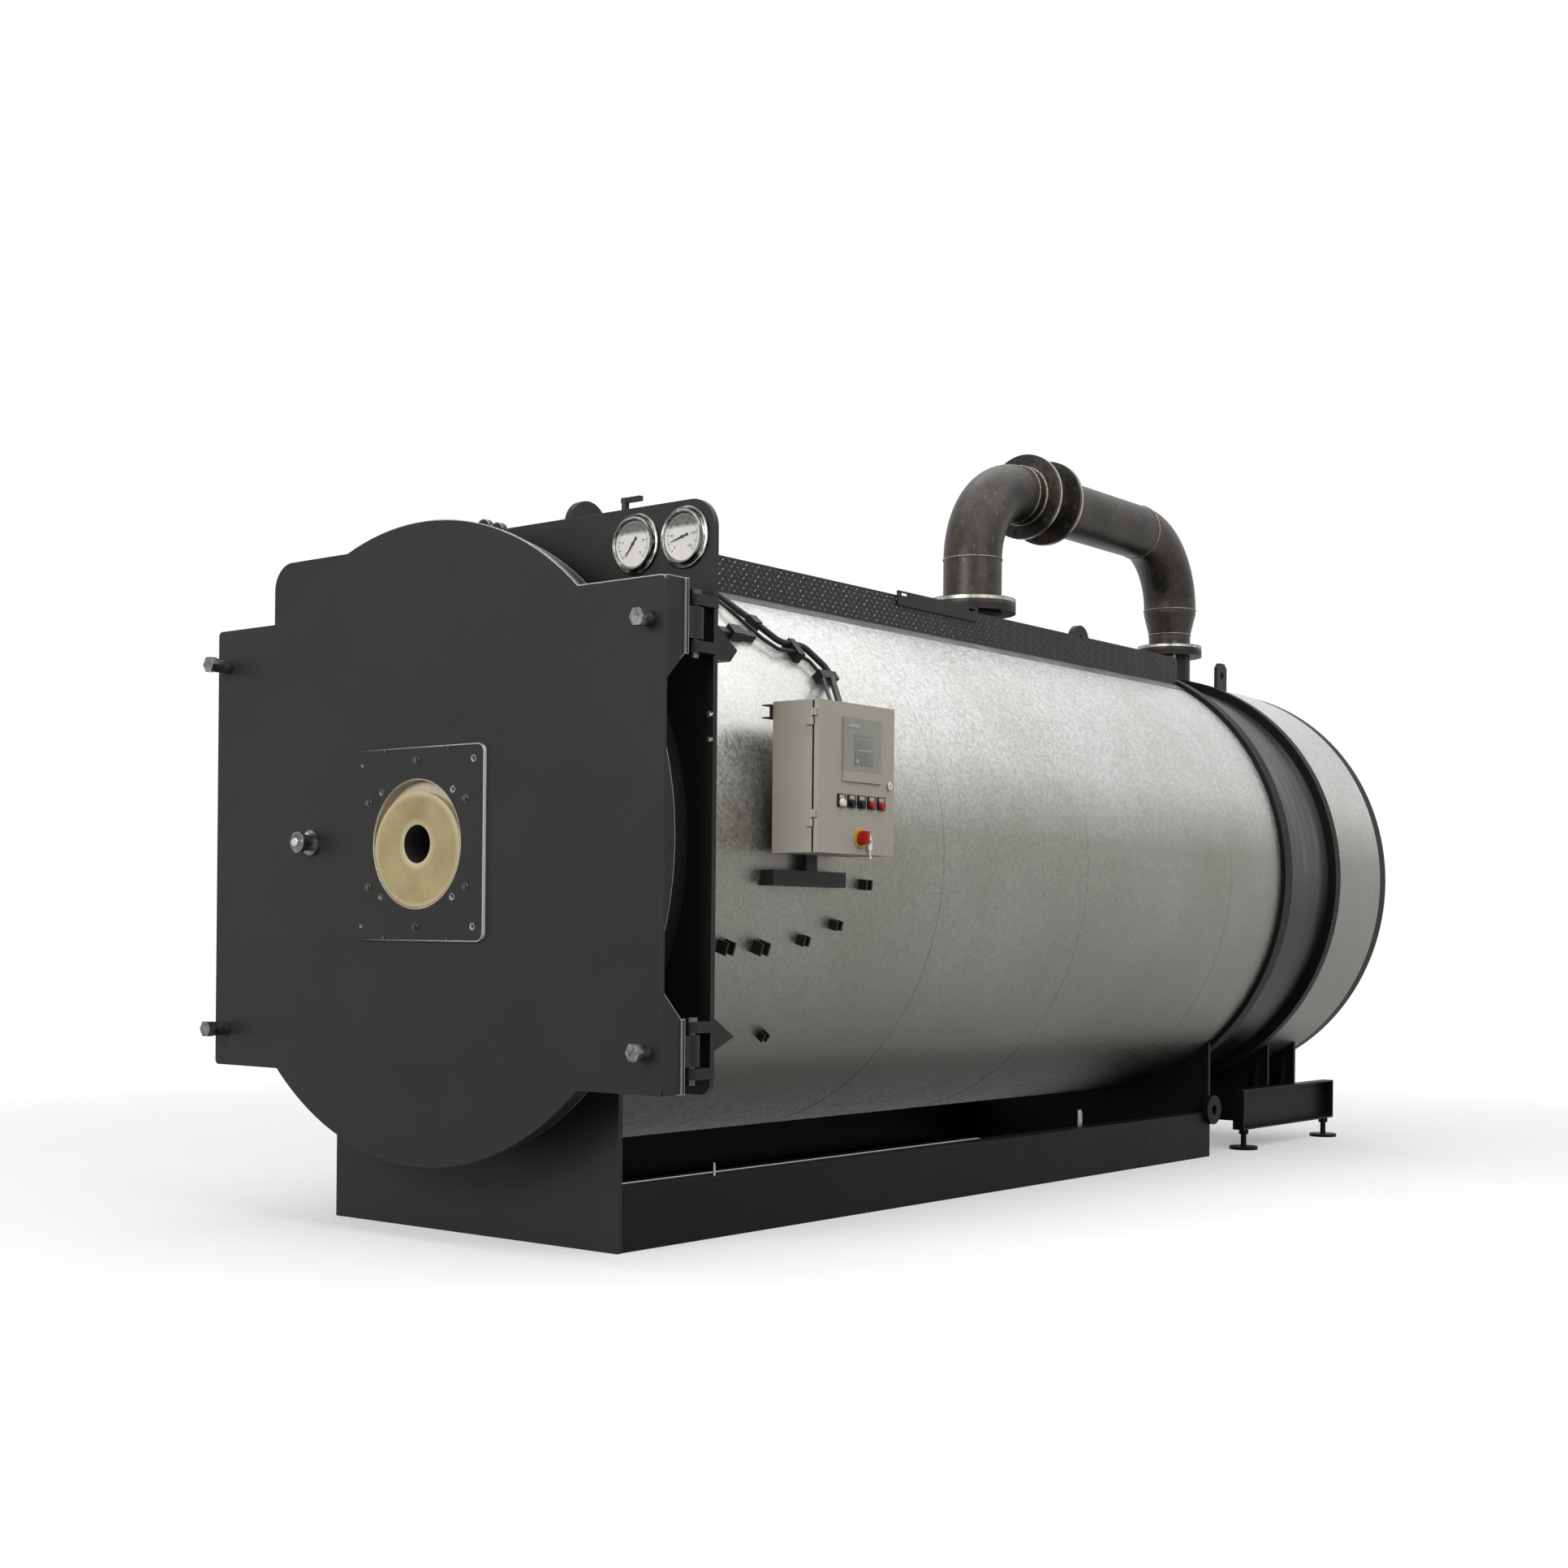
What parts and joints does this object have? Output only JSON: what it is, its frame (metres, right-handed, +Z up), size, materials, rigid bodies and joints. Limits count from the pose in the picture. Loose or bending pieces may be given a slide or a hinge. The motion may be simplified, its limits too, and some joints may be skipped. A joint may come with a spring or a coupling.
{
  "type": "industrial boiler",
  "caption": "Horizontal industrial hot-water boiler with hinged burner door, metal cladding, crown walkway, flanged pipe loop, rear flue gas module and side control cabinet.",
  "frame": {"origin": "middle of the front plate's foot, on the ground", "axes": "+X to the right seen from the front, +Y from the door to the rear along the boiler, +Z up"},
  "size_m": [2.447, 5.995, 3.3825],
  "materials": {
    "anthracite_paint": "satin",
    "tread_plate": "satin",
    "galvanised_sheet": "spangled",
    "grey_band": "satin",
    "plain_steel": "plain",
    "burner_steel": "satin",
    "refractory": "matte",
    "mill_steel": "mill scale",
    "bright_metal": "polished",
    "cabinet_paint": "fine texture",
    "display_plastic": "satin",
    "button_plastic": "gloss",
    "yellow_plastic": "satin",
    "red_plastic": "satin",
    "black_rubber": "matte"
  },
  "bodies": {
    "boiler_body": {"base_beams": "anthracite_paint", "boiler_shell": "plain_steel", "cabinet_body": "cabinet_paint", "cabinet_bracket": "anthracite_paint", "cabinet_hinges": "cabinet_paint", "cabinet_inner_plate": "plain_steel", "conduit_clips": "black_rubber", "connecting_band": "grey_band", "flow_spool": "mill_steel", "flue_outlet": "anthracite_paint", "front_collar": "anthracite_paint", "front_plate": "anthracite_paint", "front_tube_plate": "plain_steel", "furnace_tube": "plain_steel", "gauge_cock": "anthracite_paint", "gauge_left": "bright_metal", "gauge_right": "bright_metal", "hinge_gussets": "anthracite_paint", "hinge_lugs": "anthracite_paint", "hinge_pins": "plain_steel", "holder_stubs": "anthracite_paint", "lashing_eyes": "anthracite_paint", "levelling_feet": "anthracite_paint", "lifting_lugs": "anthracite_paint", "module_beams": "anthracite_paint", "module_cladding": "galvanised_sheet", "module_cover": "anthracite_paint", "module_flange": "anthracite_paint", "module_lugs": "anthracite_paint", "module_rests": "anthracite_paint", "module_ring": "anthracite_paint", "power_conduit": "black_rubber", "rear_ring": "anthracite_paint", "rear_saddle": "anthracite_paint", "rear_tube_plate": "plain_steel", "return_nozzle": "anthracite_paint", "return_pipe": "mill_steel", "riser_nozzle": "anthracite_paint", "riser_pipe": "mill_steel", "shell_cladding": "galvanised_sheet", "signal_line": "black_rubber", "smoke_tube_ends": "plain_steel", "walkway": "tread_plate", "walkway_bar": "anthracite_paint", "walkway_end": "anthracite_paint", "walkway_lips": "galvanised_sheet"},
    "door_body": {"door_sheet": "anthracite_paint", "door_rim": "anthracite_paint", "door_lining": "refractory", "burner_plate": "burner_steel", "burner_plug": "refractory", "sight_glass": "anthracite_paint", "door_clamp_bolts": "plain_steel", "hinge_barrels": "anthracite_paint"},
    "cabinet_door_body": {"cabinet_door": "cabinet_paint", "cabinet_display": "display_plastic", "cabinet_buttons": "button_plastic", "cabinet_lock": "plain_steel", "switch_plate": "yellow_plastic"},
    "switch_body": {"switch_handle": "red_plastic"}
  },
  "joints": [
    {"name": "front_door_hinge", "type": "hinge", "parent": "boiler_body", "child": "door_body", "pos_m": [1.095, -0.095, 0], "axis": [0, 0, 1], "range_deg": [0, 105]},
    {"name": "cabinet_door_hinge", "type": "hinge", "parent": "boiler_body", "child": "cabinet_door_body", "pos_m": [1.268, 0.291, 0], "axis": [0, 0, -1], "range_deg": [0, 110]},
    {"name": "main_switch_turn", "type": "hinge", "parent": "cabinet_door_body", "child": "switch_body", "pos_m": [1.29, 0.53, 1.381], "axis": [1, 0, 0], "range_deg": [0, 90]}
  ]
}
